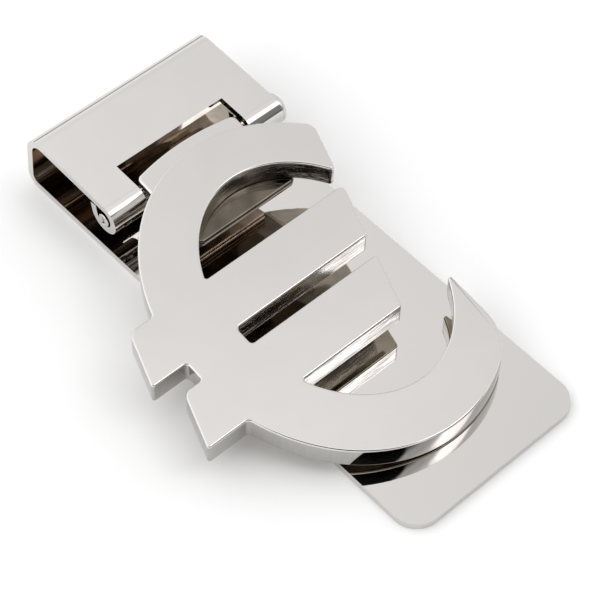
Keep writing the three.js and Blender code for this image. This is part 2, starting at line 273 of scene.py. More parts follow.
def rounded_prism(outline, depth, low_edge, high_edge, paired=False):
    """A plate with rounded edges: the outline is carried from height 0 to the depth and pulled in along its
    corners' bisectors by a quarter circle at each end, the inset edge * (1 - sin a) at the height
    edge * (1 - cos a) from it. Returns the points as x, y, height, the faces with a flat face over each
    end, each face's zone and which faces are smooth. A paired outline goes out along one side of a strip
    and back along the other with as many points, and its ends are rows of four-cornered faces instead."""
    ahead = np.roll(outline, -1, axis=0) - outline
    ahead /= np.linalg.norm(ahead, axis=1)[:, None]
    normal = np.c_[ahead[:, 1], -ahead[:, 0]]
    before = np.roll(normal, 1, axis=0)
    bisector = (normal + before) / (1 + np.sum(normal * before, axis=1))[:, None]
    turn = np.linspace(0, math.pi / 2, ROUND_STEPS + 1)
    inset = np.r_[low_edge + GUARD / 3, low_edge * (1 - np.sin(turn)), high_edge * (1 - np.cos(turn)),
                  high_edge + GUARD / 3]
    height = np.r_[0, low_edge * (1 - np.cos(turn)), depth - high_edge * (1 - np.sin(turn)), depth]
    plan = outline[None] - inset[:, None, None] * bisector[None]
    points = np.concatenate([plan, np.broadcast_to(height[:, None, None], plan.shape[:2] + (1,))], axis=2)
    rings, count = plan.shape[:2]
    walls = grid_faces(rings, count, True)
    ring_of_face = np.repeat(np.arange(rings - 1), count)
    wall_ring = ROUND_STEPS + 1
    if paired:
        i = np.arange(count // 2 - 1)
        ends = np.stack([i, i + 1, count - 2 - i, count - 1 - i], axis=-1)
    else:
        ends = np.arange(count)[None]
    faces = walls.reshape(-1, 4).tolist() + ends[:, ::-1].tolist() + (ends + (rings - 1) * count).tolist()
    zone = np.r_[
        WALL + np.sign(wall_ring - ring_of_face), np.full(len(ends), LOWER), np.full(len(ends), UPPER)]
    smooth = np.r_[np.ones(len(ring_of_face), bool), np.zeros(2 * len(ends), bool)]
    return points.reshape(-1, 3), faces, zone, smooth


def to_lever(points, slope):
    """Points drawn level round an origin on the pin's axis, turned down by the lever's slope and moved to
    the pin."""
    x, y, z = points.T
    turned = np.c_[x * math.cos(slope) + z * math.sin(slope), y, z * math.cos(slope) - x * math.sin(slope)]
    return turned + np.array(HINGE)


def lever_slope(sizes):
    """Fall of the emblem's faces from its back to its tip, less its thickness, over its length."""
    fall = EMBLEM_HIGH.z - EMBLEM_LOW.z - sizes.thickness
    return math.atan2(fall, EMBLEM_HIGH.x - EMBLEM_LOW.x)


# ---- Folded strip --------------------------------------------------------------------------------

CORNER_POINTS = 24                # rows round the corners at the free end
BASE_ROWS = (10 * MM, 0, -10 * MM)  # rows between the free corners and the lower bend
FLANGE_SHARE = 0.4                # place of a row between the upper bend and the knuckles
MIDDLE_COLUMNS = 7                # columns between the notch's sides


def common_normal(first, first_radius, second, second_radius):
    """Angle of the normal where a straight run leaves one circle's outside for the next one's."""
    run = np.subtract(second, first)
    return math.atan2(run[1], run[0]) + math.acos((first_radius - second_radius) / math.hypot(*run))


def strip_rows(sizes):
    """The strip's side line on its outside, from the free end along the underside, round both bends, along
    the flange and round the knuckle: arcs about three centres joined by straight runs. Gives each row's
    point (x, z), its half width, and the number of the row on the notch's back edge."""
    half = BODY_HIGH.y
    corner = sizes.free_corner
    radii = np.array([sizes.lower_bend, sizes.upper_bend, sizes.knuckle_bore + sizes.sheet])
    low = (BODY_LOW.x + radii[0], radii[0])
    high = (BODY_LOW.x + sizes.bend_lean + radii[1], BODY_HIGH.z - radii[1])
    knuckle = (HINGE.x, HINGE.z + sizes.knuckle_rise)
    wall = common_normal(low, radii[0], high, radii[1]) - 2 * math.pi
    flange = common_normal(high, radii[1], knuckle, radii[2]) - 2 * math.pi
    sweep = np.linspace(math.pi / 2, 0, CORNER_POINTS)
    end_x = BODY_HIGH.x - corner + corner * np.sin(sweep)
    end_width = half - corner + corner * np.cos(sweep)
    base_x = np.array([BODY_HIGH.x - corner - GUARD, *BASE_ROWS, low[0] + GUARD])
    lower = arc(low, radii[0], -math.pi / 2, wall)
    upper = arc(high, radii[1], wall, flange)
    curl = arc(knuckle, radii[2], flange, sizes.curl_end - 2 * math.pi)
    start, stop = upper[-1], curl[0]
    notch_x = BODY_LOW.x + sizes.notch_setback
    guard_share = GUARD / np.linalg.norm(stop - start)
    notch_share = (notch_x - start[0]) / (stop[0] - start[0])
    before_notch = (guard_share, FLANGE_SHARE)
    shares = np.array([*before_notch, notch_share, 1 - guard_share])
    run = start + shares[:, None] * (stop - start)
    heading = np.array([math.sin(sizes.curl_end), -math.cos(sizes.curl_end)])
    flange_under = knuckle[1] + radii[2] * math.sin(flange) - sizes.sheet
    tail = (flange_under - sizes.curl_tail - curl[-1][1]) / heading[1]
    wall_size = np.linalg.norm(upper[0] - lower[-1])
    wall_guards = np.array([GUARD, wall_size - GUARD])[:, None]
    wall_heading = (upper[0] - lower[-1]) / wall_size
    points = np.concatenate([
        np.c_[end_x, np.zeros_like(end_x)], np.c_[base_x, np.zeros_like(base_x)], lower,
        lower[-1] + wall_guards * wall_heading, upper, run, curl,
        curl[-1] + np.array([[GUARD], [tail]]) * heading])
    widths = np.r_[end_width, np.full(len(points) - len(end_width), half)]
    notch_row = sum(map(len, (end_x, base_x, lower, wall_guards, upper, before_notch)))
    return points, widths, notch_row


def strip_surface(sizes):
    """Grid of the strip's outside: y = share * half width on each row of the side line, with the notch's
    faces left out."""
    rows, widths, notch_row = strip_rows(sizes)
    half = BODY_HIGH.y
    notch = sizes.notch_width / 2
    side = np.array([notch, notch + GUARD, (notch + half) / 2, half - GUARD, half])
    middle = np.linspace(-notch + GUARD, notch - GUARD, MIDDLE_COLUMNS)
    columns = -np.r_[-side[::-1], middle, side] / half
    x = np.repeat(rows[:, 0][:, None], len(columns), axis=1)
    z = np.repeat(rows[:, 1][:, None], len(columns), axis=1)
    y = widths[:, None] * columns[None]
    faces = grid_faces(len(rows), len(columns), False)
    left = np.arange(len(columns) - 1)
    in_notch = np.abs(columns[left] + columns[left + 1]) / 2 < notch / half
    keep = np.ones(faces.shape[:2], bool)
    keep[notch_row:, in_notch] = False
    faces = faces[keep]
    used, faces = np.unique(faces, return_inverse=True)
    points = np.stack([x, y, z], axis=-1).reshape(-1, 3)[used]
    return points, faces.reshape(-1, 4)


# ---- Hinge pin -----------------------------------------------------------------------------------

PIN_CHAMFER = 0.15 * MM           # rounding of the pin's flush end
SLOT_SOFT = 0.04 * MM             # half the width of the slot's sloping walls
HEAD_LIP = 0.12 * MM              # height of the rounding under the domed head
DISC_CHORDS = 22                  # chords from the slot to the rim on each side of the flush end
CHORD_POINTS = 9                  # points along each chord
SWEEP_POINTS = 14                 # points on a quarter turn of the profile


def pin_surface(sizes):
    """The pin as a profile (radius, y) carried round its axis. The flush end is a disc of chords across the
    slot, y = end + depth * step(|x| < half slot), whose rim gives the angles that the profile is carried
    by."""
    radius, end = sizes.pin_radius, PIN_LOW.y
    face = radius - PIN_CHAMFER
    slot = sizes.slot_width / 2
    inside = np.array([0, slot - SLOT_SOFT, slot, slot + SLOT_SOFT])
    first_turn = math.asin((slot + 2 * SLOT_SOFT) / face)
    outside = face * np.sin(np.linspace(first_turn, math.pi / 2, DISC_CHORDS))
    chords = np.r_[inside, outside]
    chords = np.r_[-chords[:0:-1], chords]
    reach = np.sqrt(np.clip(face ** 2 - chords ** 2, 0, None))
    across = np.linspace(-1, 1, CHORD_POINTS)
    depth = sizes.slot_depth * np.clip((slot + SLOT_SOFT - np.abs(chords)) / (2 * SLOT_SOFT), 0, 1)
    disc = np.stack([
        np.repeat(chords[:, None], CHORD_POINTS, 1), np.repeat((end + depth)[:, None], CHORD_POINTS, 1),
        reach[:, None] * across[None]], axis=-1)
    inner = disc[1:-1]
    count = len(inner)
    grid = np.arange(count * CHORD_POINTS).reshape(count, CHORD_POINTS)
    first, last = grid.size, grid.size + 1
    faces = grid_faces(count, CHORD_POINTS, False).reshape(-1, 4).tolist()
    near_row, far_row = grid[0].tolist(), grid[-1].tolist()
    faces += [[first, after, before] for before, after in zip(near_row, near_row[1:])]
    faces += [[last, before, after] for before, after in zip(far_row, far_row[1:])]
    rim = np.r_[first, grid[:, 0], last, grid[::-1, -1]]
    middle = CHORD_POINTS // 2
    points = np.concatenate([inner.reshape(-1, 3), disc[:1, middle], disc[-1:, middle]])
    around = np.arctan2(points[rim][:, 2], points[rim][:, 0])
    head = (PIN_HIGH.z - PIN_LOW.z) / 2
    base_y = PIN_HIGH.y - sizes.head_height
    dome = sizes.head_height - HEAD_LIP
    sweep = np.linspace(0, math.pi / 2, SWEEP_POINTS)[:-1]
    rounding, away = PIN_CHAMFER * (1 - np.sin(sweep[2:])), PIN_CHAMFER * (1 - np.cos(sweep[2:]))
    profile = np.concatenate([
        np.c_[radius - rounding, end + away],
        [(radius, end + PIN_CHAMFER), (radius, base_y), (head - HEAD_LIP, base_y),
         (head - HEAD_LIP / 3, base_y + HEAD_LIP / 3)],
        np.c_[head * np.cos(sweep), base_y + HEAD_LIP + dome * np.sin(sweep)]])
    rings = np.stack([
        profile[:, 0][:, None] * np.cos(around), np.repeat(profile[:, 1][:, None], len(rim), 1),
        profile[:, 0][:, None] * np.sin(around)], axis=-1)
    start = len(points)
    points = np.concatenate([points, rings.reshape(-1, 3), [[0, PIN_HIGH.y, 0]]])
    ring_numbers = np.concatenate([
        [rim], start + np.arange(rings.shape[0] * len(rim)).reshape(-1, len(rim))])
    for lower_ring, upper_ring in zip(ring_numbers[:-1], ring_numbers[1:]):
        faces += np.stack([
            lower_ring, upper_ring, np.roll(upper_ring, -1), np.roll(lower_ring, -1)], axis=-1).tolist()
    pole = len(points) - 1
    top = ring_numbers[-1]
    faces += np.stack([top, np.full_like(top, pole), np.roll(top, -1)], axis=-1).tolist()
    return points + np.array([HINGE.x, 0, HINGE.z]), faces


# ---- Strap and lever plate -----------------------------------------------------------------------

BACK_POINTS = 24                  # points along the plate's back edge
SHEET_EDGE = 0.1 * MM             # rounding of the strap's edges and the plate's lower edges


def strap_outline(sizes, pin_radius):
    """Side view of the strap in x and height: out along the upper leg, the loop round the pin's back, the
    rise at 45 degrees and the lower leg, and back along the inside with as many points."""
    bore = pin_radius + sizes.strap_gap
    loop = bore + sizes.strap_sheet
    reach = sizes.strap_reach
    leave = -math.pi / 4
    leg_top = bore - sizes.leg_gap
    leg_under = leg_top - sizes.strap_sheet
    outer = arc((0, 0), loop, math.pi / 2, leave + 2 * math.pi)
    inner = arc((0, 0), bore, leave, math.pi / 2 - 2 * math.pi)

    def rise(radius, height):
        """Where the rise that leaves a circle of this radius meets this height."""
        return radius * math.cos(leave) + height - radius * math.sin(leave), height

    return np.concatenate([
        [(reach, loop)], outer, [rise(loop, leg_under), (reach, leg_under)],
        [(reach, leg_top), rise(bore, leg_top)], inner, [(reach, bore)]])


def plate_outline(sizes):
    """Plan of the lever plate: a shallow arc at the back, straight sides and rounded corners."""
    half, corner, back = sizes.plate_width / 2, sizes.plate_corner, sizes.plate_back_radius
    centre_x = back - sizes.plate_back
    swing = math.asin((half - corner) / (back - corner))
    corner_x = centre_x - (back - corner) * math.cos(swing)
    front = sizes.plate_reach - corner
    quarter = math.pi / 2
    back_turn = np.linspace(math.pi - swing, math.pi + swing, BACK_POINTS)
    back_arc = np.c_[centre_x + back * np.cos(back_turn), back * np.sin(back_turn)]
    return np.concatenate([
        arc((front, corner - half), corner, -quarter, 0), arc((front, half - corner), corner, 0, quarter),
        arc((corner_x, half - corner), corner, quarter, math.pi - swing)[:-1], back_arc,
        arc((corner_x, corner - half), corner, math.pi + swing, 3 * quarter)[1:]])


# ---- Emblem --------------------------------------------------------------------------------------

ARC_CLEAR = 1.4                   # an ellipse's arc stops this many small corner lengths from a bar


class Ring:
    """One of the emblem's two ellipses: across = shift + half width * cos, up = rise + half length * sin."""

    def __init__(self, half_width, half_length, shift, rise):
        self.centre, self.half = np.array([shift, rise]), np.array([half_width, half_length])

    def angle(self, point):
        """Angle of a point on the ellipse, whose cosine and sine are its place over the half sizes."""
        share = (np.asarray(point) - self.centre) / self.half
        return math.atan2(share[1], share[0])

    def at(self, turn):
        """Point of the ellipse at an angle."""
        return self.centre + self.half * np.array([math.cos(turn), math.sin(turn)])

    def left(self, up):
        """Left crossing with a level line: shift - half width * sqrt(1 - share up ^ 2)."""
        share = (up - self.centre[1]) / self.half[1]
        return np.array([self.centre[0] - self.half[0] * math.sqrt(1 - share ** 2), up])

    def below(self, across):
        """Lower crossing with an upright line: rise - half length * sqrt(1 - share across ^ 2)."""
        share = (across - self.centre[0]) / self.half[0]
        return np.array([across, self.centre[1] - self.half[1] * math.sqrt(1 - share ** 2)])

    def cut(self, offset, slope):
        """Upper crossing with the line across = offset + slope * up: a quadratic's larger root in up."""
        start = offset - self.centre[0] + slope * self.centre[1]
        a = (slope / self.half[0]) ** 2 + 1 / self.half[1] ** 2
        b = 2 * slope * start / self.half[0] ** 2
        c = (start / self.half[0]) ** 2 - 1
        up = self.centre[1] + (-b + math.sqrt(b * b - 4 * a * c)) / (2 * a)
        return np.array([offset + slope * up, up])

    def arc(self, start, stop):
        """Points of the ellipse from one angle to another."""
        return arc(self.centre, self.half, start, stop)


def emblem_outline(sizes):
    """The sign seen from above, across and up: the round stroke between two ellipses, cut by a slanted line
    above and a straight one below, and two bars whose ends slant alike. Corners are conic roundings."""
    outer = Ring(sizes.outer_width, sizes.outer_length, 0, 0)
    inner = Ring(sizes.inner_width, sizes.inner_length, sizes.inner_shift, sizes.inner_rise)
    near = sizes.bar_gap / 2
    far = near + sizes.bar_width
    slope, offset = sizes.cut_slope, sizes.cut_offset
    corner, small, tip = sizes.corner_round, sizes.small_round, sizes.tip_round
    middle = (near + far) / 2
    top_outer, top_inner = outer.cut(offset, slope), inner.cut(offset, slope)
    low_outer, low_inner = outer.below(sizes.lower_terminal), inner.below(sizes.lower_terminal)
    along = np.array([slope, 1]) / math.hypot(slope, 1) * corner
    full = 2 * math.pi
    on_top = outer.angle(top_outer) + corner / sizes.outer_width
    on_low = full + outer.angle(low_outer) - sizes.terminal_round / sizes.outer_width
    on_tip = inner.angle(low_inner) - tip / sizes.inner_width
    on_inner = inner.angle(top_inner) + corner / sizes.inner_width
    swing = small / sizes.inner_width
    up_left, low_left = outer.left(far), outer.left(-far)
    in_up, in_low = inner.left(far), inner.left(-far)

    def cut_at(up):
        """Point on the slanted cut: across = offset + slope * up."""
        return np.array([offset + slope * up, up])

    def tick_at(up, bar_middle):
        """Point on a bar's slanted outer end: across = slope * (up - middle) - reach."""
        return np.array([slope * (up - bar_middle) - sizes.tick_reach, up])

    ticks = rounded_corners([
        outer.at(outer.angle(up_left) - swing), up_left, tick_at(far, middle), tick_at(near, middle),
        np.array([sizes.notch_end, near]), np.array([sizes.notch_end, -near]), tick_at(-near, -middle),
        tick_at(-far, -middle), low_left, outer.at(outer.angle(low_left) + swing)],
        [small, corner, small, small, small, corner, small, small])
    bars = rounded_corners([
        inner.at(inner.angle(in_low) + full + swing), in_low, cut_at(-far), cut_at(-near),
        np.array([sizes.slot_end, -near]), np.array([sizes.slot_end, near]), cut_at(near), cut_at(far),
        in_up, inner.at(inner.angle(in_up) - swing)],
        [small, corner / 2, corner / 2, small, small, corner / 2, corner, small])
    return np.concatenate([
        curve_between(top_outer - along, top_outer, outer.at(on_top)),
        outer.arc(on_top, outer.angle(up_left) - ARC_CLEAR * small / sizes.outer_width)[1:-1],
        *ticks,
        outer.arc(full + outer.angle(low_left) + ARC_CLEAR * small / sizes.outer_width, on_low)[1:-1],
        curve_between(outer.at(on_low), low_outer, low_outer + np.array([0, sizes.terminal_round])),
        curve_between(low_inner - np.array([0, tip]), low_inner, inner.at(on_tip)),
        inner.arc(on_tip, inner.angle(in_low) + ARC_CLEAR * swing)[1:-1],
        *bars,
        inner.arc(inner.angle(in_up) - ARC_CLEAR * swing, on_inner)[1:-1],
        curve_between(inner.at(on_inner), top_inner, top_inner + along)])


# ---- Finishes ------------------------------------------------------------------------------------

GLOSS_SPAN = (0.3, 0.7)           # noise levels between which the roughness changes
TINT_SPAN = (0.3, 0.62)           # noise levels between which the colour changes
ALL_SHADED = (0, 1)                # places along X that leave a whole piece in painted shade


def add_node(tree, kind, settings=None, **inputs):
    """Adds a node, with its settings by attribute and its sockets' values by name."""
    made = tree.nodes.new(kind)
    for key, value in (settings or {}).items():
        setattr(made, key, value)
    for key, value in inputs.items():
        made.inputs[key.replace("_", " ")].default_value = value
    return made


def start_finish(name, tint):
    """A metal material with its shader, and the object's own coordinates."""
    material = bpy.data.materials.new(name)
    material.use_nodes = True
    material.diffuse_color = (*tint, 1)
    tree = material.node_tree
    shader = tree.nodes["Principled BSDF"]
    shader.inputs["Base Color"].default_value = (*tint, 1)
    shader.inputs["Metallic"].default_value = 1
    place = add_node(tree, "ShaderNodeTexCoord")
    return material, tree, shader, place


def noise(tree, place, scale, detail, stretch=(1, 1, 1)):
    """A noise of the object's coordinates, stretched along the axes."""
    mapping = add_node(tree, "ShaderNodeMapping", Scale=stretch)
    tree.links.new(place.outputs["Object"], mapping.inputs["Vector"])
    made = add_node(tree, "ShaderNodeTexNoise", Scale=scale, Detail=detail, Roughness=0.55)
    tree.links.new(mapping.outputs["Vector"], made.inputs["Vector"])
    return made


def spread(tree, source, low, high, to_low=0, to_high=1, kind="LINEAR"):
    """An output's values from low to high carried over to another span."""
    made = add_node(
        tree, "ShaderNodeMapRange", {"interpolation_type": kind},
        From_Min=low, From_Max=high, To_Min=to_low, To_Max=to_high)
    tree.links.new(source, made.inputs["Value"])
    return made.outputs["Result"]


def vary_roughness(tree, shader, source, low, high):
    """Runs the roughness from low to high by the noise."""
    dull = spread(tree, source.outputs["Fac"], *GLOSS_SPAN, low, high)
    tree.links.new(dull, shader.inputs["Roughness"])


def mottle(tree, source, tint, darker):
    """The tint mixed with a darker one by the noise."""
    mix = add_node(tree, "ShaderNodeMix", {"data_type": "RGBA"})
    mix.inputs["A"].default_value = (*[c * darker for c in tint], 1)
    mix.inputs["B"].default_value = (*tint, 1)
    tree.links.new(spread(tree, source.outputs["Fac"], *TINT_SPAN), mix.inputs["Factor"])
    return mix


def vary_colour(tree, shader, source, tint, darker):
    """Gives the shader the mottled tint."""
    mix = mottle(tree, source, tint, darker)
    tree.links.new(mix.outputs["Result"], shader.inputs["Base Color"])


def add_bump(tree, shader, source, distance, strength, under=None):
    """Adds relief from a texture, over another bump where one is given."""
    bump = add_node(tree, "ShaderNodeBump", Strength=strength, Distance=distance)
    tree.links.new(source.outputs["Fac"], bump.inputs["Height"])
    if under:
        tree.links.new(under.outputs["Normal"], bump.inputs["Normal"])
    tree.links.new(bump.outputs["Normal"], shader.inputs["Normal"])
    return bump


def polished_finish(name, tint, gloss):
    """Mirror plating: long soft waves left by polishing, cloudy gloss and very fine polishing hairs."""
    material, tree, shader, place = start_finish(name, tint)
    clouds = noise(tree, place, 160, 2)
    vary_roughness(tree, shader, clouds, 0.6 * gloss, 1.5 * gloss)
    vary_colour(tree, shader, clouds, tint, 0.975)
    waves = noise(tree, place, 90, 1)
    soft = add_bump(tree, shader, waves, 0.03 * MM, 0.5)
    hairs = noise(tree, place, 9000, 3, (0.06, 1, 1))
    add_bump(tree, shader, hairs, 0.0002 * MM, 0.3, soft)
    return material


def sawn_finish(name, tint, gloss):
    """Plating over a sawn and filed wall: ragged streaks along the wall at two scales, with dark pits."""
    material, tree, shader, place = start_finish(name, tint)
    streaks = noise(tree, place, 1900, 6, (0.5, 0.13, 1.5))
    patches = noise(tree, place, 620, 3, (0.6, 0.3, 1.3))
    vary_roughness(tree, shader, patches, 0.8 * gloss, 4 * gloss)
    vary_colour(tree, shader, streaks, tint, 0.3)
    rough = add_bump(tree, shader, patches, 0.07 * MM, 0.7)
    add_bump(tree, shader, streaks, 0.05 * MM, 0.8, rough)
    return material


def buffed_finish(name, tint, gloss):
    """Buffed outer wall: a clear mirror with long shallow waves along the wall and faint upright marks."""
    material, tree, shader, place = start_finish(name, tint)
    waves = noise(tree, place, 260, 2, (1, 1, 0.4))
    marks = noise(tree, place, 2600, 3, (1, 1, 0.1))
    vary_roughness(tree, shader, waves, 0.8 * gloss, 2 * gloss)
    vary_colour(tree, shader, marks, tint, 0.92)
    soft = add_bump(tree, shader, waves, 0.03 * MM, 0.4)
    add_bump(tree, shader, marks, 0.002 * MM, 0.4, soft)
    return material


def sheared_finish(name, tint, gloss):
    """Bare sheared edge of thin sheet, torn across its thickness."""
    material, tree, shader, place = start_finish(name, tint)
    tears = noise(tree, place, 2200, 4, (1, 1, 0.2))
    vary_roughness(tree, shader, tears, 5 * gloss, 9 * gloss)
    vary_colour(tree, shader, tears, tint, 0.5)
    add_bump(tree, shader, tears, 0.05 * MM, 0.6)
    return material


def painted_shade_finish(name, shade_tint, clear, gloss, reach):
    """Painted shade: a darker colour at one end, mottled darker still by dull clouds and a little duller,
    that clears up along X to the plain colour, with drawn lines and dull clouds in the relief. The reach is
    where it starts to clear and where it is clear."""
    material, tree, shader, place = start_finish(name, shade_tint)
    lines = noise(tree, place, 1100, 3, (0.1, 1, 0.1))
    clouds = noise(tree, place, 300, 3)
    where = add_node(tree, "ShaderNodeSeparateXYZ")
    tree.links.new(place.outputs["Object"], where.inputs["Vector"])
    share = spread(tree, where.outputs["X"], *reach, kind="SMOOTHSTEP")
    darker = mottle(tree, clouds, shade_tint, 0.6)
    tint = add_node(tree, "ShaderNodeMix", {"data_type": "RGBA"})
    tint.inputs["B"].default_value = (*clear, 1)
    tree.links.new(share, tint.inputs["Factor"])
    tree.links.new(darker.outputs["Result"], tint.inputs["A"])
    tree.links.new(tint.outputs["Result"], shader.inputs["Base Color"])
    tree.links.new(spread(tree, share, 0, 1, 1.3 * gloss, gloss), shader.inputs["Roughness"])
    rough = add_bump(tree, shader, clouds, 0.02 * MM, 0.25)
    add_bump(tree, shader, lines, 0.0005 * MM, 0.5, rough)
    return material


def strap_finish(name, tint, gloss):
    """Thinly plated sheet: drawn lines along the strap, dull clouds and a warm, uneven colour."""
    material, tree, shader, place = start_finish(name, tint)
    clouds = noise(tree, place, 420, 2)
    drawn = noise(tree, place, 1500, 2, (0.1, 1, 0.1))
    vary_roughness(tree, shader, clouds, 1.5 * gloss, 3 * gloss)
    vary_colour(tree, shader, clouds, tint, 0.72)
    soft = add_bump(tree, shader, clouds, 0.02 * MM, 0.4)
    add_bump(tree, shader, drawn, 0.001 * MM, 0.5, soft)
    return material


def turned_finish(name, tint, gloss):
    """Plating over a turned pin: fine rings about the pin's axis with cloudy gloss."""
    material, tree, shader, place = start_finish(name, tint)
    centred = add_node(tree, "ShaderNodeMapping", Location=(-HINGE.x, 0, -HINGE.z))
    rings = add_node(
        tree, "ShaderNodeTexWave", {"wave_type": "RINGS", "rings_direction": "Y"},
        Scale=2600, Distortion=0.8, Detail=2)
    tree.links.new(place.outputs["Object"], centred.inputs["Vector"])
    tree.links.new(centred.outputs["Vector"], rings.inputs["Vector"])
    clouds = noise(tree, place, 900, 2)
    vary_roughness(tree, shader, clouds, 2 * gloss, 5 * gloss)
    vary_colour(tree, shader, clouds, tint, 0.85)
    add_bump(tree, shader, rings, 0.006 * MM, 0.5)
    return material


# ---- Operators -----------------------------------------------------------------------------------

MOST_BOUNCES = 24                 # mirrors in the fold are followed this deep
SURE_BOUNCES = 16                 # and none is given up before this depth


class CLIP_OT_spring_body(bpy.types.Operator):
    """Makes the folded strip: base plate, two bends, notched flange and two rolled knuckles"""
    bl_idname = "clip.spring_body"
    bl_label = "Spring body"

    def execute(self, context):
        sizes, colours = context.scene.clip_body, context.scene.clip_colours
        points, faces = strip_surface(sizes)
        # Painted shade inside the fold: the inner faces are darkened behind the hinge and clear to the
        # bright plating ahead of it
        clears = (HINGE.x - 1.5 * MM, HINGE.x + 3 * MM)
        materials = [
            polished_finish("body_polished", colours.bright, colours.gloss),
            painted_shade_finish("body_inside_painted_shade", colours.inside, colours.bright, colours.gloss, clears)]
        piece = make_piece(
            "folded_strip", points, faces.tolist(), materials, np.zeros(len(faces)), np.ones(len(faces)),
            "base", "spring_body")
        thick = piece.modifiers.new("sheet", "SOLIDIFY")
        thick.thickness = sizes.sheet
        thick.offset = -1
        thick.use_even_offset = True
        thick.material_offset = 1
        rounded = piece.modifiers.new("edges", "BEVEL")
        rounded.width = sizes.edge
        rounded.segments = 4
        rounded.limit_method = "ANGLE"
        rounded.angle_limit = math.radians(50)
        rounded.harden_normals = True
        return {"FINISHED"}


class CLIP_OT_hinge_pin(bpy.types.Operator):
    """Makes the hinge pin with its domed head and slotted flush end"""
    bl_idname = "clip.hinge_pin"
    bl_label = "Hinge pin"

    def execute(self, context):
        sizes, colours = context.scene.clip_body, context.scene.clip_colours
        points, faces = pin_surface(sizes)
        finish = turned_finish("pin_turned", colours.turned, colours.gloss)
        make_piece(
            "domed_pin", points, faces, [finish], np.zeros(len(faces)), np.ones(len(faces)),
            "base", "hinge_pin")
        return {"FINISHED"}


class CLIP_OT_lever_parts(bpy.types.Operator):
    """Makes the strap that loops round the pin and the plate soldered over it"""
    bl_idname = "clip.lever_parts"
    bl_label = "Strap and lever plate"

    def execute(self, context):
        sizes, colours = context.scene.clip_lever, context.scene.clip_colours
        slope = lever_slope(context.scene.clip_emblem)
        pin_radius = context.scene.clip_body.pin_radius
        # Painted shade under the emblem: the plate is nearly black from 4.5 mm ahead of the pin and clears
        # to the bright plating by 2.5 mm
        clears = (HINGE.x + 4.5 * MM, HINGE.x + 2.5 * MM)
        side, faces, _, smooth = rounded_prism(
            guarded(strap_outline(sizes, pin_radius)), sizes.strap_width, SHEET_EDGE, SHEET_EDGE,
            paired=True)
        points = np.c_[side[:, 0], sizes.strap_width / 2 - side[:, 2], side[:, 1]]
        sheared = np.array([side[face][:, 0].min() > sizes.strap_reach - TOLERANCE for face in faces])
        make_piece(
            "looped_strap", to_lever(points, slope), faces,
            [strap_finish("strap_sheet", colours.strap, colours.gloss),
             sheared_finish("strap_sheared", colours.sheared, colours.gloss)],
            sheared, smooth, "lever", "hinge_strap")
        points, faces, _, smooth = rounded_prism(
            guarded(plate_outline(sizes)), sizes.plate_thickness, SHEET_EDGE, sizes.plate_edge)
        points[:, 2] += pin_radius + sizes.strap_gap + sizes.strap_sheet + sizes.solder
        make_piece(
            "solder_plate", to_lever(points, slope), faces,
            [painted_shade_finish("plate_painted_shade", colours.plate_shade, colours.bright, colours.gloss, clears)],
            np.zeros(len(faces)), smooth, "lever", "lever_plate")
        return {"FINISHED"}


class CLIP_OT_emblem(bpy.types.Operator):
    """Makes the thick currency-sign plate, its faces sloping with the lever and its walls upright"""
    bl_idname = "clip.emblem"
    bl_label = "Emblem"

    def execute(self, context):
        sizes, colours = context.scene.clip_emblem, context.scene.clip_colours
        plan, faces, zone, smooth = rounded_prism(
            guarded(emblem_outline(sizes)), sizes.thickness, sizes.edge, sizes.edge)
        x = (EMBLEM_LOW.x + EMBLEM_HIGH.x) / 2 - plan[:, 1]
        y = plan[:, 0] + sizes.shift
        z = EMBLEM_LOW.z + (EMBLEM_HIGH.x - x) * math.tan(lever_slope(sizes)) + plan[:, 2]
        # Walls outside the round stroke's middle line are the outer walls, which take the darker
        # painted-shade colour
        centres = np.array([plan[face].mean(axis=0) for face in faces])
        across = centres[:, 0] * 2 / (sizes.outer_width + sizes.inner_width)
        upward = centres[:, 1] * 2 / (sizes.outer_length + sizes.inner_length)
        zone[(zone == WALL) & (np.hypot(across, upward) > 1)] = OUTER_WALL
        # The underside and the outer walls are given colours darker than the polished top: painted shade
        materials = [
            polished_finish("emblem_polished", colours.bright, colours.gloss),
            sawn_finish("emblem_sawn_wall", colours.wall, colours.gloss),
            painted_shade_finish("emblem_underside_painted_shade", colours.under, colours.under, colours.gloss, ALL_SHADED),
            buffed_finish("emblem_outer_wall_painted_shade", colours.outer, colours.gloss)]
        make_piece(
            "currency_sign", np.c_[x, y, z], faces, materials, zone, smooth,
            "lever", "emblem")
        return {"FINISHED"}


class CLIP_OT_stage(bpy.types.Operator):
    """Makes the floor, the soft light all round and the camera"""
    bl_idname = "clip.stage"
    bl_label = "Stage"

    def execute(self, context):
        settings = context.scene.clip_stage
        add_floor(settings)
        add_light(context.scene, settings)
        add_camera(context.scene, settings)
        context.scene.view_settings.view_transform = "Standard"
        context.scene.cycles.max_bounces = MOST_BOUNCES
        context.scene.cycles.glossy_bounces = MOST_BOUNCES
        context.scene.cycles.min_light_bounces = SURE_BOUNCES
        return {"FINISHED"}


def add_floor(settings):
    """A wide plain floor just under the base plate."""
    reach, drop = 3.0, 0.02 * MM
    mesh = bpy.data.meshes.new("floor")
    mesh.from_pydata(
        [(-reach, -reach, -drop), (reach, -reach, -drop), (reach, reach, -drop), (-reach, reach, -drop)],
        [], [(0, 1, 2, 3)])
    floor = bpy.data.objects.new("floor", mesh)
    bpy.context.scene.collection.objects.link(floor)
    material = bpy.data.materials.new("pale_floor")
    material.use_nodes = True
    shader = material.node_tree.nodes["Principled BSDF"]
    shader.inputs["Base Color"].default_value = (*settings.floor, 1)
    shader.inputs["Roughness"].default_value = 1
    shader.inputs["Specular IOR Level"].default_value = 0
    mesh.materials.append(material)


LIGHT_LEAN = (-0.05, -0.90, 0.43)  # the light changes along this direction
LEAN_REACH = 0.12                 # how far along it, on either side of the middle
LEAN_CHANGE = 0.17                # and by how much

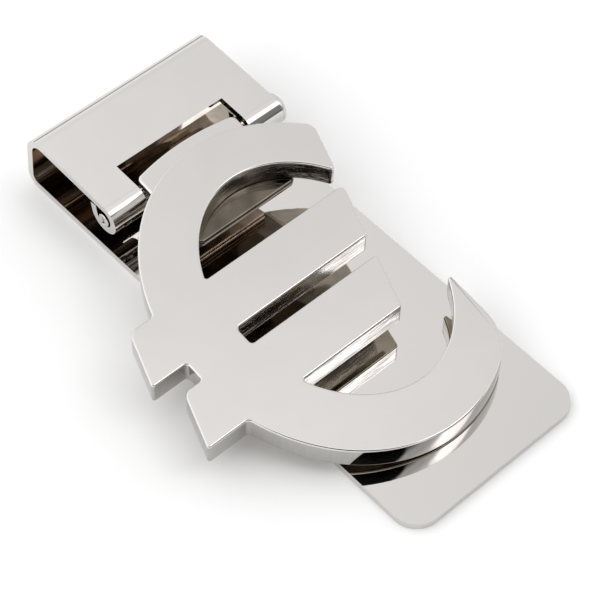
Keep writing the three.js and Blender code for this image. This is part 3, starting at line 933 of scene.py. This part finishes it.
# Patches of the light all round: direction, full and fading radius in degrees, share of the light there
LIGHT_PATCHES = (
    ((-0.31, 0.41, 0.86), 16, 60, 0.71),
    ((0.75, -0.21, 0.63), 14, 24, 0.15),
    ((0.82, 0.42, 0.38), 16, 22, 0.2),
    ((-0.27, 0.39, 0.88), 1, 9, 0.93),
    ((0.62, -0.02, 0.79), 8, 20, 0.55),
    ((0.4346, 0.4101, 0.8019), 6, 12, 2.5),
    ((0.48, -0.356, 0.80), 21, 23.5, 0.01),
)

# Dim band over the horizon: the heights (sine of the elevation) where it starts to clear and where it is
# gone, and its share of the light
HORIZON_BAND = (0.04, 0.26, 0.25)

SENSOR_WIDTH = 36                 # millimetres
CLIP = (0.01, 20)                 # nearest and farthest that the camera sees, in metres


def light_towards(tree, place, direction):
    """How far the light comes from a direction: the dot product of the two."""
    made = add_node(tree, "ShaderNodeVectorMath", {"operation": "DOT_PRODUCT"})
    made.inputs[1].default_value = direction
    tree.links.new(place.outputs["Generated"], made.inputs[0])
    return made.outputs["Value"]


def times(tree, first, second):
    """Product of two outputs."""
    made = add_node(tree, "ShaderNodeMath", {"operation": "MULTIPLY"})
    tree.links.new(first, made.inputs[0])
    tree.links.new(second, made.inputs[1])
    return made.outputs["Value"]


def add_light(scene, settings):
    """Soft light from all round: a level that changes gently from one side to the other, times the share of
    each brighter or darker patch, as from a studio's screens and the camera, times a dim band over the
    horizon."""
    world = bpy.data.worlds.new("studio_light")
    scene.world = world
    world.use_nodes = True
    tree = world.node_tree
    shade = tree.nodes["Background"]
    shade.inputs["Color"].default_value = (1, 1, 1, 1)
    place = add_node(tree, "ShaderNodeTexCoord")
    strength = spread(
        tree, light_towards(tree, place, LIGHT_LEAN), -LEAN_REACH, LEAN_REACH,
        settings.light - LEAN_CHANGE, settings.light + LEAN_CHANGE)
    for direction, full, fading, brightness in LIGHT_PATCHES:
        edge, heart = math.cos(math.radians(fading)), math.cos(math.radians(full))
        facing = light_towards(tree, place, direction)
        strength = times(tree, strength, spread(tree, facing, edge, heart, 1, brightness, "SMOOTHSTEP"))
    height = add_node(tree, "ShaderNodeSeparateXYZ")
    tree.links.new(place.outputs["Generated"], height.inputs["Vector"])
    above = spread(tree, height.outputs["Z"], *HORIZON_BAND, 1, "SMOOTHSTEP")
    tree.links.new(times(tree, strength, above), shade.inputs["Strength"])


def add_camera(scene, settings):
    """The camera looks at a point in the floor's plane from a given azimuth and elevation, with a slight
    roll: back = (sin az * cos el, -cos az * cos el, sin el)."""
    azimuth, elevation = settings.camera_azimuth, settings.camera_elevation
    level_share = math.cos(elevation)
    back = Vector((math.sin(azimuth) * level_share, -math.cos(azimuth) * level_share, math.sin(elevation)))
    right = Vector((0, 0, 1)).cross(back).normalized()
    upright = Matrix((right, back.cross(right), back)).transposed()
    data = bpy.data.cameras.new("camera")
    data.lens = settings.focal_length
    data.sensor_width = SENSOR_WIDTH
    data.clip_start, data.clip_end = CLIP
    camera = bpy.data.objects.new("camera", data)
    scene.collection.objects.link(camera)
    target = Vector((settings.look_x, settings.look_y, 0))
    turned = upright @ Matrix.Rotation(settings.camera_roll, 3, "Z")
    camera.matrix_world = Matrix.Translation(target + settings.camera_distance * back) @ turned.to_4x4()
    scene.camera = camera


class CLIP_PT_panel(bpy.types.Panel):
    """Lists the sizes, the colours and the pieces' operators"""
    bl_idname = "CLIP_PT_panel"
    bl_label = "Money Clip"
    bl_space_type = "VIEW_3D"
    bl_region_type = "UI"
    bl_category = "Money Clip"

    def draw(self, context):
        for label, name, _ in GROUPS:
            box = self.layout.box()
            box.label(text=label)
            group = getattr(context.scene, name)
            for key in group.__annotations__:
                box.prop(group, key)
        for operator in OPERATORS:
            self.layout.operator(operator.bl_idname)


GROUPS = (
    ("Spring body and pin", "clip_body", BodySizes),
    ("Strap and lever plate", "clip_lever", LeverSizes),
    ("Emblem", "clip_emblem", EmblemSizes),
    ("Plating", "clip_colours", PlatingColours),
    ("Stage", "clip_stage", StageSettings),
)
OPERATORS = (CLIP_OT_spring_body, CLIP_OT_hinge_pin, CLIP_OT_lever_parts, CLIP_OT_emblem, CLIP_OT_stage)


def register():
    """Adds the property groups, the operators and the panel."""
    for _, name, group in GROUPS:
        bpy.utils.register_class(group)
        setattr(bpy.types.Scene, name, PointerProperty(type=group))
    for made in (*OPERATORS, CLIP_PT_panel):
        bpy.utils.register_class(made)


def unregister():
    """Takes them away again, in the opposite order."""
    for made in (CLIP_PT_panel, *reversed(OPERATORS)):
        bpy.utils.unregister_class(made)
    for _, name, group in reversed(GROUPS):
        delattr(bpy.types.Scene, name)
        bpy.utils.unregister_class(group)


def main():
    """Makes every piece and the stage."""
    register()
    bpy.ops.clip.spring_body()
    bpy.ops.clip.hinge_pin()
    bpy.ops.clip.lever_parts()
    bpy.ops.clip.emblem()
    bpy.ops.clip.stage()


if __name__ == "__main__":
    main()
